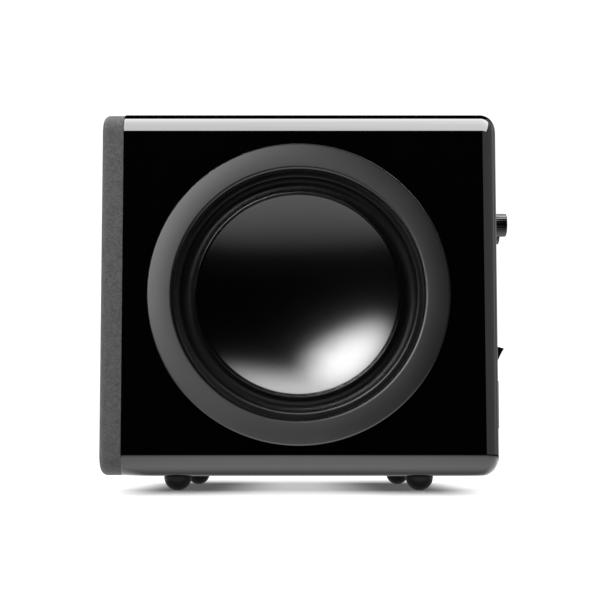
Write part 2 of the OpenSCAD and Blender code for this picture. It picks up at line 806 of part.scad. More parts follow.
// Two rotary controls, each with a bushing through the plate
module control_pots() color("#6d7073")
    for (y = [volume_y, crossover_y]) on_rear(y, knob_z) difference() {
        union() {
            translate([0, 0, -plate_t - pot_t]) cylinder(r = pot_r, h = pot_t);
            translate([0, 0, -plate_t - eps]) cylinder(r = bushing_r, h = plate_t + bushing_out + eps);
        }
        translate([0, 0, -plate_t - shaft_root])
            cylinder(r = shaft_r + fit_gap, h = plate_t + shaft_root + 2);
    }

module control_shaft(y) color("#b0b2b5")
    on_rear(y, knob_z) translate([0, 0, -plate_t - shaft_root + fit_gap])
        cylinder(r = shaft_r, h = plate_t + shaft_root + shaft_out - fit_gap);

// Knob with an eased edge and a pointer groove
module control_knob(y) color("#141416")
    on_rear(y, knob_z) difference() {
        rotate_extrude() polygon([
            [0, bushing_out + knob_gap], [knob_r, bushing_out + knob_gap], [knob_r, knob_out - 0.8],
            [knob_r - 0.8, knob_out], [0, knob_out]]);
        translate([0, 0, -1]) cylinder(r = shaft_r + fit_gap, h = shaft_out + 1 + fit_gap);
        translate([-knob_r - 1, -0.5, knob_out - 0.7]) cube([knob_r - 1, 1, 2]);
    }

// Housings of the two slide switches, each with a slot for its lever
module slide_switches() color("#3a3c40")
    for (y = slide_y) difference() {
        block(plate_in_x, y, slide_z, slide_body);
        block(plate_in_x + 1, y, slide_z, [5, slide_slot, lever_w + 2 * fit_gap]);
    }

// The lever rests at one end of its slot and slides towards +Y
module slide_lever(y) color("#c9cacc")
    block(rear_x + lever_out, y - lever_travel / 2, slide_z, [lever_out + plate_t + 3, lever_w, lever_w]);

// ---------------------------------------------------------------- sockets and mains

// Shells that stand on the plate, each with a thinner root through it
module phono_shells() color("#d0b060")
    for (y = phono_y) on_rear(y, phono_z) difference() {
        union() {
            cylinder(r = phono_r, h = phono_l);
            translate([0, 0, -plate_t - 2]) cylinder(r = phono_root_r, h = plate_t + 2 + eps);
        }
        translate([0, 0, -plate_t - 3]) cylinder(r = phono_r - phono_shell_t, h = phono_l + plate_t + 4);
    }

// Each insulator fills its shell and ends in a block behind the plate
module phono_insulators() color("#e8e8e8")
    for (y = phono_y) on_rear(y, phono_z) difference() {
        union() {
            translate([0, 0, -plate_t - 2 - eps])
                cylinder(r = phono_r - phono_shell_t - fit_gap, h = phono_top + plate_t + 2 + eps);
            translate([-6, -6, -plate_t - 10]) cube([12, 12, 8]);
        }
        translate([0, 0, phono_top - phono_hole_l])
            cylinder(r = phono_hole_r, h = phono_hole_l + 1, $fn = 48);
    }

module mains_inlet() color("#161618")
    difference() {
        union() {
            block(rear_x + inlet_flange.x, inlet_y, inlet_z, inlet_flange);
            block(rear_x + eps, inlet_y, inlet_z, inlet_body + [eps, 0, 0]);
        }
        block(rear_x + inlet_flange.x + 1, inlet_y, inlet_z, inlet_cavity + [1, 0, 0]);
        inlet_screw_places() {
            translate([0, 0, -1]) cylinder(r = inlet_screw_r, h = inlet_flange.x + 2, $fn = 24);
            translate([0, 0, inlet_flange.x - flush_head_t])
                cylinder(r1 = inlet_screw_r, r2 = flush_head_r + edge_gap, h = flush_head_t, $fn = 32);
            translate([0, 0, inlet_flange.x]) cylinder(r = flush_head_r + edge_gap, h = 1, $fn = 32);
        }
    }

// Live and neutral in the lower row, earth above and between them
module mains_pins() color("#c8c9cb")
    for (p = [[-1, -1], [1, -1], [0, 1]])
        block(rear_x, inlet_y + p[0] * pin_pitch / 2, inlet_z + p[1] * pin_offset,
              [inlet_cavity.x - inlet_flange.x, pin_size[0], pin_size[1]]);

module rocker_housing() color("#161618")
    difference() {
        union() {
            block(rear_x + rocker_flange.x, rocker_y, rocker_z, rocker_flange);
            block(rear_x + eps, rocker_y, rocker_z, rocker_body + [eps, 0, 0]);
        }
        block(rear_x + rocker_flange.x + 1, rocker_y, rocker_z, rocker_open + [1, 0, 0]);
        translate([rear_x, rocker_y, rocker_z]) rotate([90, 0, 0])
            cylinder(r = rocker_pin_r + fit_gap, h = rocker_open.y + 2, center = true, $fn = 32);
    }

// Two faces that meet over the pivot pin, tilted so that the upper end stands out
module power_rocker() color("#101012")
    translate([rear_x, rocker_y, rocker_z]) rotate([0, rocker_tilt, 0]) rotate([90, 0, 0]) {
        linear_extrude(2 * rocker_half.y, center = true) polygon([
            [-rocker_root, -rocker_half.x], [rocker_face[1], -rocker_half.x], [rocker_face[0], 0],
            [rocker_face[1], rocker_half.x], [-rocker_root, rocker_half.x]]);
        cylinder(r = rocker_pin_r, h = rocker_open.y + 1.6, center = true, $fn = 32);
    }

// ---------------------------------------------------------------- nodes

top_panel();
bottom_panel();
for (s = SIDES) {
    side_panel(s);
    trim_ring(s);
    radiator_frame(s);
    radiator_surround(s);
    radiator_cone(s);
    tuning_mass(s);
}
front_baffle();
rear_panel();
damping_felt();
for (c = CORNERS) foot(c);
grille_board();
grille_cloth();
grille_pegs();
grille_sockets();
front_basket();
front_surround();
front_cone();
front_spider();
voice_coil_former();
voice_coil();
motor_top_plate();
motor_magnet();
motor_yoke();
driver_terminal();
frame_gaskets();
frame_screws();
amp_plate();
amp_plate_screws();
circuit_board(control_x, control_z);  // control_board
circuit_board(power_x, power_z);  // power_board
board_standoffs();
transformer();
capacitors();
heat_spreader();
speaker_lead();
control_pots();
control_shaft(volume_y);  // volume_shaft
control_knob(volume_y);  // volume_knob
control_shaft(crossover_y);  // crossover_shaft
control_knob(crossover_y);  // crossover_knob
slide_switches();
slide_lever(slide_y[0]);  // phase_lever
slide_lever(slide_y[1]);  // mode_lever
phono_shells();
phono_insulators();
mains_inlet();
mains_pins();
rocker_housing();
power_rocker();
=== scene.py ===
import json
import math

import bmesh
import bpy
from mathutils import Matrix, Quaternion, Vector
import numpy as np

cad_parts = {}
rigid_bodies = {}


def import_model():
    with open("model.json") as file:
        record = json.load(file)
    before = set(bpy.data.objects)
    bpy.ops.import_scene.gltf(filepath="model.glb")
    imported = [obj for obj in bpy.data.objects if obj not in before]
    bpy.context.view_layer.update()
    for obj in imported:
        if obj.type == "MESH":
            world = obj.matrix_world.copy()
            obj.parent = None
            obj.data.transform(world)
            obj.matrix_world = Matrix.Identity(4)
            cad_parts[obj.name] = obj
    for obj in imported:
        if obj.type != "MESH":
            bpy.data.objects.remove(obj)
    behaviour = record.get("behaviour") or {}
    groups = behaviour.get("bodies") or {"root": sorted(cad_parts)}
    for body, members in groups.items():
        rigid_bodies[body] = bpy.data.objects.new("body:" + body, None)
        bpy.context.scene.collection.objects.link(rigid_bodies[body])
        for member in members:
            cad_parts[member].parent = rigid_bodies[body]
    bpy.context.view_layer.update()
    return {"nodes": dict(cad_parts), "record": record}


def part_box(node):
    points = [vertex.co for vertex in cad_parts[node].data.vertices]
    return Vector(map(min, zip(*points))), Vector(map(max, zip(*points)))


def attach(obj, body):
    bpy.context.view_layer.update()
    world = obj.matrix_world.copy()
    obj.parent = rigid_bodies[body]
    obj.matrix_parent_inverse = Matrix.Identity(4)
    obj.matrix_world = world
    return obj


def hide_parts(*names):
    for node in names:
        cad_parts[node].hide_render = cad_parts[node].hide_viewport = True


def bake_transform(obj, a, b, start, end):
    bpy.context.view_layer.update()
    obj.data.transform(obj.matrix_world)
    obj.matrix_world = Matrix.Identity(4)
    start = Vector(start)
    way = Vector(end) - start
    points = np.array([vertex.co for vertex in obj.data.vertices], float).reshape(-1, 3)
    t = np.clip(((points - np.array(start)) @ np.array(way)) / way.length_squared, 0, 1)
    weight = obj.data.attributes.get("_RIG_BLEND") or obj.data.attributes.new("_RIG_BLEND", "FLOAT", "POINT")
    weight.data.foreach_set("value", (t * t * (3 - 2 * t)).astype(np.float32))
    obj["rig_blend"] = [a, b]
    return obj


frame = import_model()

# Lengths are in millimetres unless a name ends in _m; the row frame is in metres.
MM = 0.001
NODES = frame["nodes"]
SIDES = ("right", "left")
OUT_X = Vector((1, 0, 0))
UP = Vector((0, 0, 1))
OUTWARD = {"right": Vector((0, -1, 0)), "left": Vector((0, 1, 0)), "front": -OUT_X}


def corner_pair(*nodes):
    """Lowest and highest corner of several CAD nodes, in millimetres."""
    boxes = [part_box(n) for n in nodes]
    low = [min(b[0][i] for b in boxes) / MM for i in range(3)]
    high = [max(b[1][i] for b in boxes) / MM for i in range(3)]
    return Vector(low), Vector(high)


def middle(*nodes):
    low, high = corner_pair(*nodes)
    return (low + high) / 2


CAB_LO, CAB_HI = corner_pair("top_panel", "bottom_panel", "front_baffle", "rear_panel")
GRILLE_LO, GRILLE_HI = corner_pair("grille_cloth")
WALL = corner_pair("front_baffle")[1].x - CAB_LO.x
FRONT_X, REAR_X = CAB_LO.x, CAB_HI.x
MID_Z = (CAB_LO.z + CAB_HI.z) / 2

# Design sizes that the boxes of the nodes don't give
EDGE_R = 12
REAR_EDGE_R = 8.5
GRILLE_FRONT_R = 4
CONE_R = 56.7
DISH_DEPTH = 22
CONE_EDGE_H = 0.4
CONE_T = 1.2
ROLL_R = 4.1
RUBBER_T = 0.8
LIP_OUT_R = 67.9
TRIM_IN_R = 68.8
TRIM_R = 83
TRIM_T = 4
FRAME_R = 80
CUTOUT_R = 72
REBATE_T = 5
PLATE_T = 2.5
PLATE_CORNER_R = 5
PLATE_LEDGE = 9
FIT_GAP = 0.3
SOCKET_R = 5
SOCKET_HOLE_DEPTH = 11.6
DISH_R = (CONE_R**2 + DISH_DEPTH**2) / (2 * DISH_DEPTH)
DISH_C = CONE_EDGE_H + DISH_R - DISH_DEPTH
ROLL_GAP = 0.1
ROLL_MID_R = CONE_R + ROLL_GAP + RUBBER_T / 2 + ROLL_R


# ------------------------------------------------------------------ mesh helpers


def quarter(steps):
    """Angles from 0 to 90 degrees in even steps, in radians."""
    return [math.radians(90 * k / steps) for k in range(steps + 1)]


def place(centre, outward, up=UP):
    """Matrix that puts a shape drawn in (across, up, outward) millimetres into the row frame."""
    m = Matrix((up.cross(outward), up, outward)).transposed().to_4x4()
    m.translation = Vector(centre) * MM
    return m @ Matrix.Scale(MM, 4)


def finish_mesh(name, bm, matrix, sharp=35.0):
    """A new object from a bmesh, smooth but for edges sharper than the angle given in degrees."""
    bmesh.ops.recalc_face_normals(bm, faces=bm.faces)
    mesh = bpy.data.meshes.new(name)
    bm.to_mesh(mesh)
    bm.free()
    mesh.transform(matrix)
    obj = bpy.data.objects.new(name, mesh)
    bpy.context.scene.collection.objects.link(obj)
    mesh.shade_smooth()
    mesh.set_sharp_from_angle(angle=math.radians(sharp))
    return obj


def soften(points, radius, steps=5):
    """A closed outline with every corner rounded; radius is one number or one for each point."""
    radii = radius if isinstance(radius, (list, tuple)) else [radius] * len(points)
    out = []
    for i, r in enumerate(radii):
        a, b, c = (Vector(points[k % len(points)]) for k in (i - 1, i, i + 1))
        to_a, to_c = (a - b), (c - b)
        if r <= 0 or to_a.angle(to_c) > math.pi - 0.02:
            out.append(b)
            continue
        half = to_a.angle(to_c) / 2
        cut = min(r / math.tan(half), 0.49 * to_a.length, 0.49 * to_c.length)
        r = cut * math.tan(half)
        to_a.normalize()
        to_c.normalize()
        centre = b + (to_a + to_c).normalized() * (r / math.sin(half))
        first, last = b + to_a * cut - centre, b + to_c * cut - centre
        turn = first.angle_signed(last)
        for k in range(steps + 1):
            spun = first.copy()
            spun.rotate(Matrix.Rotation(-turn * k / steps, 2))
            out.append(centre + spun)
    return [tuple(p) for p in out]


def ribbon(path, thickness):
    """Closed outline of a strip of even thickness along a path."""
    left, right = [], []
    for i, p in enumerate(path):
        a, b = Vector(path[max(i - 1, 0)]), Vector(path[min(i + 1, len(path) - 1)])
        d = (b - a).normalized()
        side = Vector((-d.y, d.x)) * thickness / 2
        left.append(tuple(Vector(p) + side))
        right.append(tuple(Vector(p) - side))
    return left + right[::-1]


def lathe(name, outline, matrix, steps=160, closed=True, wobble=None, sharp=35.0):
    """Turns an outline of (radius, height) points about the outward axis."""
    bm = bmesh.new()
    rings = []
    for r, h in outline:
        if r < 1e-6:
            rings.append([bm.verts.new((0, 0, h))])
            continue
        ring = []
        for k in range(steps):
            a = 2 * math.pi * k / steps
            rr = wobble(a, r, h) if wobble else r
            ring.append(bm.verts.new((rr * math.cos(a), rr * math.sin(a), h)))
        rings.append(ring)
    pairs = list(zip(rings, rings[1:]))
    if closed:
        pairs.append((rings[-1], rings[0]))
    for one, two in pairs:
        if len(one) == 1 and len(two) == 1:
            continue
        for k in range(steps):
            quad = [one[k % len(one)], one[(k + 1) % len(one)], two[(k + 1) % len(two)], two[k % len(two)]]
            bm.faces.new(list(dict.fromkeys(quad)))
    return finish_mesh(name, bm, matrix, sharp)


def rounded_rect(w, h, r, steps=12):
    """Points round a rectangle with round corners, the same number for any size."""
    points = []
    for cx, cy, start in ((1, 1, 0), (-1, 1, 90), (-1, -1, 180), (1, -1, 270)):
        for k in range(steps + 1):
            a = math.radians(start + 90 * k / steps)
            points.append((cx * (w / 2 - r) + r * math.cos(a), cy * (h / 2 - r) + r * math.sin(a)))
    return points


def loft(name, sections, matrix):
    """Skins and closes a list of (points, height) sections that have the same number of points."""
    bm = bmesh.new()
    rings = [[bm.verts.new((x, y, z)) for x, y in points] for points, z in sections]
    count = len(rings[0])
    for one, two in zip(rings, rings[1:]):
        for k in range(count):
            bm.faces.new((one[k], one[(k + 1) % count], two[(k + 1) % count], two[k]))
    bm.faces.new(rings[0][::-1])
    bm.faces.new(rings[-1])
    return finish_mesh(name, bm, matrix)


def eased_block(name, size, centre, ease, corner):
    """A block (width, height, thickness) with eased outer edges that faces +X; centre is on its -X face."""
    w, h, t = size
    sections = [(rounded_rect(w, h, corner, 6), 0)]
    for a in quarter(4):
        inset = ease * (1 - math.cos(a))
        sections.append((rounded_rect(w - 2 * inset, h - 2 * inset, corner - inset, 6),
                         t - ease + ease * math.sin(a)))
    return loft(name, sections, place(centre, OUT_X))


def apply_modifiers(obj):
    """Bakes an object's modifiers into its mesh."""
    graph = bpy.context.evaluated_depsgraph_get()
    mesh = bpy.data.meshes.new_from_object(obj.evaluated_get(graph))
    obj.modifiers.clear()
    old = obj.data
    obj.data = mesh
    bpy.data.meshes.remove(old)


def carve(obj, *cutters):
    """Takes the cutters away from the object, and removes them."""
    for c in cutters:
        m = obj.modifiers.new("cut", "BOOLEAN")
        m.object = c
        m.solver = "EXACT"
    bpy.context.view_layer.update()
    apply_modifiers(obj)
    for c in cutters:
        bpy.data.objects.remove(c)


def steady_normals(obj, sharp):
    """Keeps flat faces flat in reflections beside rounded edges."""
    obj.data.shade_smooth()
    obj.data.set_sharp_from_angle(angle=math.radians(sharp))
    m = obj.modifiers.new("steady_normals", "WEIGHTED_NORMAL")
    m.keep_sharp = True
    m.weight = 100


def ease_edges(obj, width, segments, angle):
    """Rounds every edge that is sharper than the angle given in degrees."""
    m = obj.modifiers.new("ease", "BEVEL")
    m.width = width * MM
    m.segments = segments
    m.limit_method = "ANGLE"
    m.angle_limit = math.radians(angle)


# ------------------------------------------------------------------ material helpers


class Look:
    """A node material round one Principled shader. Coordinates are the row frame's, in metres."""

    def __init__(self, name, color, rough, metallic=0.0, **sockets):
        self.mat = bpy.data.materials.new(name)
        self.mat.use_nodes = True
        self.tree = self.mat.node_tree
        self.shader = next(n for n in self.tree.nodes if n.type == "BSDF_PRINCIPLED")
        self.coord = self.tree.nodes.new("ShaderNodeTexCoord").outputs["Object"]
        self.color = color
        self.set("Base Color", (*color, 1))
        self.set("Roughness", rough)
        self.set("Metallic", metallic)
        for k, v in sockets.items():
            self.set(k.replace("_", " "), v)

    def set(self, socket, value):
        self.shader.inputs[socket].default_value = value

    def join(self, out, socket):
        self.tree.links.new(out, self.shader.inputs[socket])

    def node(self, kind, inputs=(), **props):
        n = self.tree.nodes.new(kind)
        for k, v in props.items():
            setattr(n, k, v)
        for key, v in dict(inputs).items():
            if isinstance(v, bpy.types.NodeSocket):
                self.tree.links.new(v, n.inputs[key])
            else:
                n.inputs[key].default_value = v
        return n

    def math(self, op, a, b=0.0):
        return self.node("ShaderNodeMath", {0: a, 1: b}, operation=op).outputs[0]

    def product(self, first, *others):
        for other in others:
            first = self.math("MULTIPLY", first, other)
        return first

    def hypot(self, a, b):
        return self.math("SQRT", self.math("ADD", self.math("POWER", a, 2.0), self.math("POWER", b, 2.0)))

    def span(self, value, low, high, start=0.0, stop=1.0, smooth=False):
        n = self.node("ShaderNodeMapRange",
                      {"Value": value, "From Min": start, "From Max": stop, "To Min": low, "To Max": high})
        n.interpolation_type = "SMOOTHSTEP" if smooth else "LINEAR"
        return n.outputs["Result"]

    def axes(self, vector=None):
        return self.node("ShaderNodeSeparateXYZ", {"Vector": vector or self.coord}).outputs

    def length(self, vector=None):
        n = self.node("ShaderNodeVectorMath", {0: vector or self.coord}, operation="LENGTH")
        return n.outputs["Value"]

    def noise(self, size_m, detail, seed=0.0):
        """Noise whose features are about size_m across."""
        mapped = self.node("ShaderNodeMapping", {"Vector": self.coord, "Location": (seed, seed, seed)})
        settings = {"Vector": mapped.outputs[0], "Scale": 1 / size_m, "Detail": detail}
        return self.node("ShaderNodeTexNoise", settings).outputs["Fac"]

    def mix(self, factor, one, two):
        """Base colour that goes from one colour to another."""
        n = self.node("ShaderNodeMix", {"Factor": factor}, data_type="RGBA")
        ends = [s for s in n.inputs if s.type == "RGBA"]
        ends[0].default_value = (*one, 1)
        ends[1].default_value = (*two, 1)
        self.join(next(s for s in n.outputs if s.type == "RGBA"), "Base Color")

    def tint(self, factor, dark, light):
        """The base colour, times a number between dark and light."""
        self.mix(factor, [c * dark for c in self.color], [c * light for c in self.color])

    def bump(self, height, depth_m, strength=1.0):
        n = self.node("ShaderNodeBump", {"Height": height, "Distance": depth_m, "Strength": strength})
        self.join(n.outputs["Normal"], "Normal")

    def roughen(self, factor, low, high):
        self.join(self.span(factor, low, high), "Roughness")


LOOKS = {}


def grainy(name, color, rough, grain_m, depth_m, metallic=0.0, **sockets):
    """The usual moulded, painted or cast surface: grain in the bump, drift in colour and roughness."""
    look = Look(name, color, rough, metallic, **sockets)
    spread, drift_m = 0.15, 0.03
    grain = look.noise(grain_m, 2.0)
    drift = look.noise(drift_m, 3.0, seed=4.0)
    look.bump(grain, depth_m)
    look.roughen(drift, rough * (1 - spread), rough * (1 + spread))
    look.tint(look.math("MULTIPLY", look.math("ADD", grain, drift), 0.5), 1 - spread, 1 + spread)
    LOOKS[name] = look.mat


def lacquer():
    """Piano-black lacquer: faint orange peel and polishing haze."""
    look = Look("black_lacquer", (0.0006, 0.0006, 0.0007), 0.035, IOR=1.5)
    look.bump(look.noise(0.004, 1.5), 0.00001, 0.25)
    look.roughen(look.noise(0.02, 5.0, seed=2.0), 0.025, 0.05)
    LOOKS["black_lacquer"] = look.mat


def weave():
    """Plain-woven acoustic cloth, drawn on the cloth's own unfolded coordinates."""
    pitch_m, wander_m, most_shift = 0.0012, 1 / 220, 1.2
    look = Look("grille_cloth", (0.062, 0.062, 0.065), 0.85,
                Sheen_Weight=0.15, Sheen_Roughness=0.45, Specular_IOR_Level=0.25)
    uv = look.node("ShaderNodeUVMap", uv_map="cloth").outputs["UV"]
    wander = look.noise(wander_m, 2.0)
    shift = look.math("MULTIPLY", look.math("SUBTRACT", wander, 0.5), most_shift)
    waves = []
    for across in look.axes(uv)[:2]:
        turns = look.math("ADD", look.math("MULTIPLY", across, 2 * math.pi / pitch_m), shift)
        waves.append(look.math("SINE", turns))
    knots = look.span(look.math("MULTIPLY", *waves), 0.0, 1.0, -1.0, 1.0)
    fibre = look.noise(0.0004, 2.0, seed=7.0)
    slub = look.span(look.noise(0.0009, 2.0, seed=1.0), 0.0, 1.0, 0.3, 0.7)
    cloud = look.span(look.noise(0.006, 2.0, seed=5.0), 0.0, 1.0, 0.3, 0.7)
    height = look.math("ADD", knots, look.math("MULTIPLY", fibre, 0.5))
    look.bump(height, 0.0003, 0.7)
    shade = look.math("ADD", look.math("MULTIPLY", knots, 0.3),
                      look.math("ADD", look.math("MULTIPLY", slub, 0.55), look.math("MULTIPLY", cloud, 0.1)))
    look.tint(shade, 0.25, 1.75)
    look.roughen(fibre, 0.75, 0.95)
    LOOKS["grille_cloth"] = look.mat


def turned_dish(name, centre, normal):
    """Black satin with a very fine concentric finish about an axis."""
    rough, rings_in_a_metre = 0.21, 2600.0
    look = Look(name, (0.0003, 0.0003, 0.0003), rough, Specular_IOR_Level=0.42)
    rotate = normal.to_track_quat("Z", "Y").to_euler()
    offset = look.node("ShaderNodeVectorMath", {0: look.coord, 1: centre * MM}, operation="SUBTRACT")
    local = look.node("ShaderNodeVectorRotate", {"Vector": offset.outputs[0], "Rotation": rotate},
                      rotation_type="EULER_XYZ", invert=True)
    across, up, _ = look.axes(local.outputs[0])
    settings = {"W": look.hypot(across, up), "Scale": rings_in_a_metre, "Detail": 2.0}
    rings = look.node("ShaderNodeTexNoise", settings, noise_dimensions="1D").outputs["Fac"]
    grain = look.noise(0.00035, 2.0)
    both = look.math("ADD", look.math("MULTIPLY", rings, 0.35), look.math("MULTIPLY", grain, 0.65))
    look.bump(both, 0.00001, 0.25)
    look.roughen(look.noise(0.012, 4.0, seed=3.0), rough * 0.94, rough * 1.06)
    look.tint(both, 0.9, 1.06)
    return look.mat


def phono_colours():
    """White insulators but for one red one, told apart by their place along the plate."""
    white, red, red_from_m = (0.72, 0.72, 0.7), (0.5, 0.02, 0.02), 0.037
    look = Look("insulator", white, 0.4)
    look.mix(look.span(look.axes()[1], 0.0, 1.0, red_from_m, red_from_m + 0.0001), white, red)
    look.bump(look.noise(0.0003, 2.0), 0.00001)
    look.roughen(look.noise(0.004, 3.0), 0.35, 0.5)
    LOOKS["insulator"] = look.mat


lacquer()
weave()
phono_colours()
grainy("felt", (0.33, 0.33, 0.35), 0.95, 0.0008, 0.0004)
grainy("foot_rubber", (0.002, 0.002, 0.002), 0.5, 0.0004, 0.00002, Specular_IOR_Level=0.15)
grainy("grille_fibreboard", (0.03, 0.028, 0.027), 0.8, 0.0012, 0.00012)
grainy("black_plastic", (0.022, 0.022, 0.024), 0.42, 0.0004, 0.00003)
grainy("trim_grey", (0.003, 0.003, 0.0032), 0.35, 0.0003, 0.000012)
grainy("frame_black", (0.02, 0.02, 0.022), 0.4, 0.0003, 0.00002)
grainy("surround_rubber", (0.0018, 0.0018, 0.0018), 0.42, 0.0004, 0.000005, Specular_IOR_Level=0.16)
grainy("weight_steel", (0.5, 0.5, 0.52), 0.35, 0.0006, 0.00002, 1.0)
grainy("spider_cloth", (0.55, 0.4, 0.14), 0.8, 0.0006, 0.0002)
grainy("former_film", (0.5, 0.36, 0.18), 0.4, 0.001, 0.00002)
grainy("copper_wire", (0.72, 0.33, 0.16), 0.35, 0.0003, 0.00008, 1.0)
grainy("magnet_ferrite", (0.06, 0.06, 0.065), 0.6, 0.0008, 0.00005)
grainy("gasket_foam", (0.03, 0.03, 0.03), 0.9, 0.0006, 0.0001)
grainy("screw_black", (0.05, 0.05, 0.055), 0.32, 0.0003, 0.00001, 0.8)
grainy("amp_plate", (0.02, 0.02, 0.022), 0.5, 0.0007, 0.00006)
grainy("circuit_green", (0.03, 0.16, 0.07), 0.4, 0.002, 0.00002)
grainy("standoff_brass", (0.75, 0.58, 0.26), 0.3, 0.0005, 0.00001, 1.0)
grainy("transformer_core", (0.4, 0.32, 0.08), 0.5, 0.001, 0.00004)
grainy("capacitor_sleeve", (0.04, 0.07, 0.2), 0.3, 0.002, 0.00001)
grainy("heat_metal", (0.55, 0.56, 0.58), 0.38, 0.0006, 0.00002, 1.0)
grainy("lead_jacket", (0.3, 0.02, 0.02), 0.5, 0.0005, 0.00002)
grainy("pot_metal", (0.5, 0.5, 0.52), 0.35, 0.0005, 0.00001, 1.0)
grainy("shaft_metal", (0.62, 0.62, 0.64), 0.28, 0.0004, 0.00001, 1.0)
grainy("knob_plastic", (0.002, 0.002, 0.0022), 0.3, 0.0003, 0.00001, Specular_IOR_Level=0.25)
grainy("lever_plastic", (0.55, 0.55, 0.56), 0.45, 0.0004, 0.00001)
grainy("contact_metal", (0.8, 0.62, 0.28), 0.22, 0.0004, 0.000008, 1.0)
grainy("pin_metal", (0.68, 0.67, 0.64), 0.25, 0.0004, 0.000008, 1.0)
grainy("print_white", (0.6, 0.6, 0.6), 0.6, 0.0004, 0.000005)


def paint(obj, material):
    obj.data.materials.clear()
    obj.data.materials.append(material)


def dress(obj, slot, body, stands_for, material=None):
    """Gives a piece the material of its slot, puts it on its body and hides the CAD nodes it stands for."""
    paint(obj, material or LOOKS[slot])
    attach(obj, body)
    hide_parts(*stands_for)


def dress_mark(obj, body):
    """A printed mark has no node of its own in the CAD, and so no slot."""
    paint(obj, LOOKS["print_white"])
    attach(obj, body)


for row in frame["record"]["subparts"]:
    if row["material_slot"] in LOOKS:
        paint(NODES[row["node"]], LOOKS[row["material_slot"]])


# ------------------------------------------------------------------ cabinet


def driver_centre(side):
    """Centre of a driver's opening on the outer face of its board."""
    if side == "front":
        return Vector((FRONT_X, 0, middle("front_basket").z))
    c = middle(f"{side}_radiator_frame")
    return Vector((c.x, CAB_LO.y if side == "right" else CAB_HI.y, c.z))


def disc_cutter(centre, outward, radius, depth, steps=160):
    proud = 1
    return lathe("cutter", [(0, proud), (radius, proud), (radius, -depth), (0, -depth)],
                 place(centre, outward), steps, closed=False)


def block_cutter(low, high):
    bm = bmesh.new()
    shape = Matrix.Translation((low + high) / 2) @ Matrix.Diagonal((*(high - low), 1))
    bmesh.ops.create_cube(bm, size=1.0, matrix=shape)
    return finish_mesh("cutter", bm, Matrix.Scale(MM, 4))


def plate_cutter(size, corner, depth):
    """Cuts a square with round corners into the back of the cabinet."""
    square = rounded_rect(size, size, corner)
    return loft("cutter", [(square, -depth), (square, 1)], place((REAR_X, 0, MID_Z), OUT_X))


def cabinet_skin():
    """The lacquered box: six boards under one continuous skin, open for the drivers and the plate."""
    width, height = CAB_HI.y - CAB_LO.y, CAB_HI.z - CAB_LO.z
    length = REAR_X - FRONT_X
    front_r, through, socket_hole_r = 0.5, WALL + 1, SOCKET_R + 0.05

    def section(inset, along):
        return rounded_rect(width - 2 * inset, height - 2 * inset, EDGE_R - inset, 20), along

    sections = [section(front_r * (1 - math.sin(a)), front_r * (1 - math.cos(a))) for a in quarter(4)]
    sections += [section(REAR_EDGE_R * (1 - math.cos(a)), length - REAR_EDGE_R + REAR_EDGE_R * math.sin(a))
                 for a in quarter(16)]
    skin = loft("cabinet_lacquer", sections, place((FRONT_X, 0, MID_Z), OUT_X))
    boards = Vector((WALL,) * 3)
    cutters = [block_cutter(CAB_LO + boards, CAB_HI - boards)]
    for side, outward in OUTWARD.items():
        c = driver_centre(side)
        cutters.append(disc_cutter(c, outward, FRAME_R + FIT_GAP, REBATE_T))
        cutters.append(disc_cutter(c, outward, CUTOUT_R, through))
    outermost = corner_pair("grille_sockets")[1]
    for y in (-1, 1):
        for z in (-1, 1):
            c = Vector((FRONT_X, y * (outermost.y - SOCKET_R), MID_Z + z * (outermost.z - MID_Z - SOCKET_R)))
            cutters.append(disc_cutter(c, OUTWARD["front"], socket_hole_r, SOCKET_HOLE_DEPTH, steps=48))
    low, high = corner_pair("amp_plate")
    plate_w = high.y - low.y
    cutters.append(plate_cutter(plate_w + 2 * FIT_GAP, PLATE_CORNER_R + FIT_GAP, PLATE_T))
    cutters.append(plate_cutter(plate_w - 2 * PLATE_LEDGE, PLATE_CORNER_R, through))
    carve(skin, *cutters)
    steady_normals(skin, 30.0)
    dress(skin, "black_lacquer", "cabinet",
          ("top_panel", "bottom_panel", "right_panel", "left_panel", "front_baffle", "rear_panel"))


cabinet_skin()


def foot(node):
    """Round rubber foot: a dome that stands on a small flat, with its top edge eased."""
    low, high = corner_pair(node)
    c = (low + high) / 2
    r, h = (high.x - low.x) / 2, high.z - low.z
    flat, ease = 2.0, 0.3
    sink = r - math.sqrt(r * r - flat * flat)
    dome = [(max(r * math.sin(a), flat), h + sink - (r - r * math.cos(a))) for a in quarter(24)[1:]]
    outline = [(0, h), (flat - 0.4, h), (flat, h - 0.05), *[p for p in dome if p[1] > ease]]
    piece = lathe(f"{node}_rubber", [*outline, (r, ease), (r - ease, 0), (0, 0)],
                  place((c.x, c.y, high.z), -UP, up=OUTWARD["left"]), 96, closed=False)
    dress(piece, "foot_rubber", "cabinet", (node,))


for corner in ("front_right", "front_left", "rear_right", "rear_left"):
    foot(f"foot_{corner}")


# ------------------------------------------------------------------ grille


